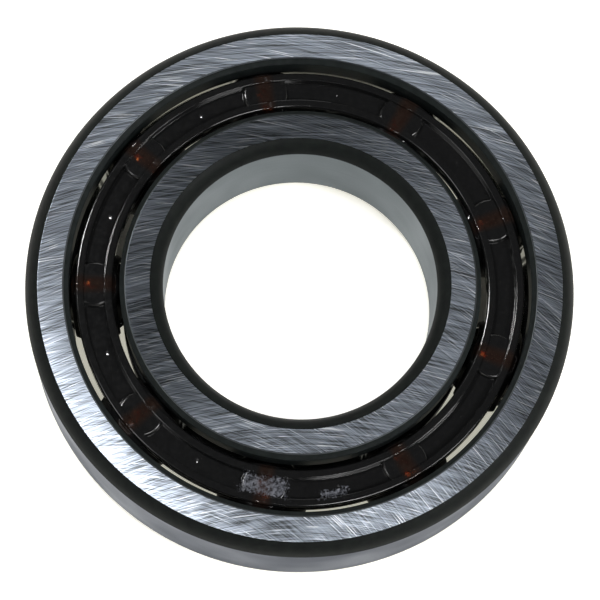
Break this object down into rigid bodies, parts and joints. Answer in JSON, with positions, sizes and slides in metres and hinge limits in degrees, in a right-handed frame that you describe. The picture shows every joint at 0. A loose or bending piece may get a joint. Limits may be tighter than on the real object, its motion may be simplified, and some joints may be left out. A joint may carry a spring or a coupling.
{
  "type": "ball bearing",
  "caption": "Open single-row deep groove ball bearing with chamfered ground steel rings and a black moulded snap cage that holds the balls in pockets.",
  "frame": {"origin": "centre of the bearing, on its axis, half way between the two side faces", "axes": "+Z along the bearing's axis, towards the side on which the cage is closed; the first ball is 20 degrees from +X towards +Y"},
  "size_m": [0.08, 0.08, 0.018],
  "materials": {
    "outer_ring_steel": "ground side faces and outside, dark oxide chamfers",
    "inner_ring_steel": "ground side faces and bore, dark oxide chamfers",
    "cage_polyamide": "black moulded polyamide, glossy",
    "ball_steel": "lapped mirror"
  },
  "bodies": {
    "outer_ring": {"outer_ring": "outer_ring_steel"},
    "inner_ring": {"inner_ring": "inner_ring_steel"},
    "cage": {"cage": "cage_polyamide"},
    "ball_1": {"ball_1": "ball_steel"},
    "ball_2": {"ball_2": "ball_steel"},
    "ball_3": {"ball_3": "ball_steel"},
    "ball_4": {"ball_4": "ball_steel"},
    "ball_5": {"ball_5": "ball_steel"},
    "ball_6": {"ball_6": "ball_steel"},
    "ball_7": {"ball_7": "ball_steel"},
    "ball_8": {"ball_8": "ball_steel"},
    "ball_9": {"ball_9": "ball_steel"}
  },
  "joints": [
    {"name": "inner_ring_spin", "type": "hinge", "parent": "outer_ring", "child": "inner_ring", "pos_m": [0, 0, 0], "axis": [0, 0, 1], "continuous": true},
    {"name": "cage_spin", "type": "hinge", "parent": "outer_ring", "child": "cage", "pos_m": [0, 0, 0], "axis": [0, 0, 1], "continuous": true},
    {"name": "ball_1_spin", "type": "hinge", "parent": "cage", "child": "ball_1", "pos_m": [0.02819, 0.01026, 0], "axis": [0, 0, 1], "continuous": true},
    {"name": "ball_2_spin", "type": "hinge", "parent": "cage", "child": "ball_2", "pos_m": [0.015, 0.02598, 0], "axis": [0, 0, 1], "continuous": true},
    {"name": "ball_3_spin", "type": "hinge", "parent": "cage", "child": "ball_3", "pos_m": [-0.00521, 0.02954, 0], "axis": [0, 0, 1], "continuous": true},
    {"name": "ball_4_spin", "type": "hinge", "parent": "cage", "child": "ball_4", "pos_m": [-0.02298, 0.01928, 0], "axis": [0, 0, 1], "continuous": true},
    {"name": "ball_5_spin", "type": "hinge", "parent": "cage", "child": "ball_5", "pos_m": [-0.03, 0, 0], "axis": [0, 0, 1], "continuous": true},
    {"name": "ball_6_spin", "type": "hinge", "parent": "cage", "child": "ball_6", "pos_m": [-0.02298, -0.01928, 0], "axis": [0, 0, 1], "continuous": true},
    {"name": "ball_7_spin", "type": "hinge", "parent": "cage", "child": "ball_7", "pos_m": [-0.00521, -0.02954, 0], "axis": [0, 0, 1], "continuous": true},
    {"name": "ball_8_spin", "type": "hinge", "parent": "cage", "child": "ball_8", "pos_m": [0.015, -0.02598, 0], "axis": [0, 0, 1], "continuous": true},
    {"name": "ball_9_spin", "type": "hinge", "parent": "cage", "child": "ball_9", "pos_m": [0.02819, -0.01026, 0], "axis": [0, 0, 1], "continuous": true}
  ],
  "couplings": [
    {"joint": "cage_spin", "follows": "inner_ring_spin", "ratio": 0.4},
    {"joint": "ball_1_spin", "follows": "inner_ring_spin", "ratio": -2.4},
    {"joint": "ball_2_spin", "follows": "inner_ring_spin", "ratio": -2.4},
    {"joint": "ball_3_spin", "follows": "inner_ring_spin", "ratio": -2.4},
    {"joint": "ball_4_spin", "follows": "inner_ring_spin", "ratio": -2.4},
    {"joint": "ball_5_spin", "follows": "inner_ring_spin", "ratio": -2.4},
    {"joint": "ball_6_spin", "follows": "inner_ring_spin", "ratio": -2.4},
    {"joint": "ball_7_spin", "follows": "inner_ring_spin", "ratio": -2.4},
    {"joint": "ball_8_spin", "follows": "inner_ring_spin", "ratio": -2.4},
    {"joint": "ball_9_spin", "follows": "inner_ring_spin", "ratio": -2.4}
  ]
}
